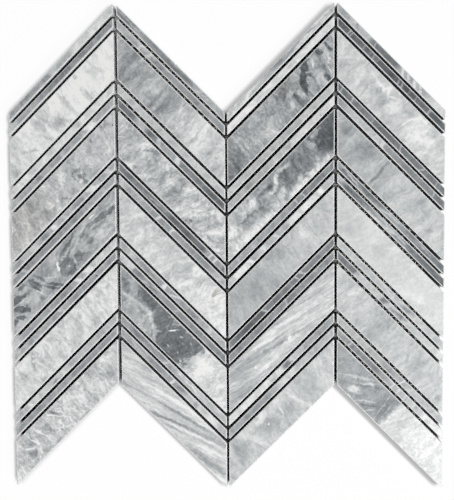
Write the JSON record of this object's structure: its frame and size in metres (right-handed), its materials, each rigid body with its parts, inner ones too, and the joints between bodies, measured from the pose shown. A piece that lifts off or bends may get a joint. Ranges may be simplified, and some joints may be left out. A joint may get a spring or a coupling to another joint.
{
  "type": "chevron mosaic wall tile sheet",
  "caption": "Mesh-mounted mosaic sheet of polished grey-white marble, slanted slats and thin strips laid as chevrons, bedded on a wall with adhesive.",
  "frame": {"origin": "On the floor under the middle of the sheet's bounding box, as the sheet lies flat on its net.", "axes": "+Z looks out of the polished faces. +Y runs up the columns, towards the end whose narrow strips come first. +X runs across the columns, to the right in the picture."},
  "size_m": [0.2752, 0.3081, 0.01],
  "materials": {
    "slat_stone": "polished face, eased arris, sawn sides and back",
    "strip_stone": "polished face, eased arris, sawn sides and back",
    "net_thread": "coated glass threads, woven open"
  },
  "bodies": {
    "root": {"net_crosswise_threads": "net_thread", "net_lengthwise_threads": "net_thread", "strip_pair_c1_r1": "strip_stone", "strip_pair_c1_r2": "strip_stone", "strip_pair_c1_r3": "strip_stone", "strip_pair_c1_r4": "strip_stone", "strip_pair_c1_r5": "strip_stone", "strip_pair_c2_r1": "strip_stone", "strip_pair_c2_r2": "strip_stone", "strip_pair_c2_r3": "strip_stone", "strip_pair_c2_r4": "strip_stone", "strip_pair_c2_r5": "strip_stone", "strip_pair_c3_r1": "strip_stone", "strip_pair_c3_r2": "strip_stone", "strip_pair_c3_r3": "strip_stone", "strip_pair_c3_r4": "strip_stone", "strip_pair_c3_r5": "strip_stone", "strip_pair_c4_r1": "strip_stone", "strip_pair_c4_r2": "strip_stone", "strip_pair_c4_r3": "strip_stone", "strip_pair_c4_r4": "strip_stone", "strip_pair_c4_r5": "strip_stone", "wide_slat_c1_r1": "slat_stone", "wide_slat_c1_r2": "slat_stone", "wide_slat_c1_r3": "slat_stone", "wide_slat_c1_r4": "slat_stone", "wide_slat_c1_r5": "slat_stone", "wide_slat_c2_r1": "slat_stone", "wide_slat_c2_r2": "slat_stone", "wide_slat_c2_r3": "slat_stone", "wide_slat_c2_r4": "slat_stone", "wide_slat_c2_r5": "slat_stone", "wide_slat_c3_r1": "slat_stone", "wide_slat_c3_r2": "slat_stone", "wide_slat_c3_r3": "slat_stone", "wide_slat_c3_r4": "slat_stone", "wide_slat_c3_r5": "slat_stone", "wide_slat_c4_r1": "slat_stone", "wide_slat_c4_r2": "slat_stone", "wide_slat_c4_r3": "slat_stone", "wide_slat_c4_r4": "slat_stone", "wide_slat_c4_r5": "slat_stone"}
  },
  "joints": []
}
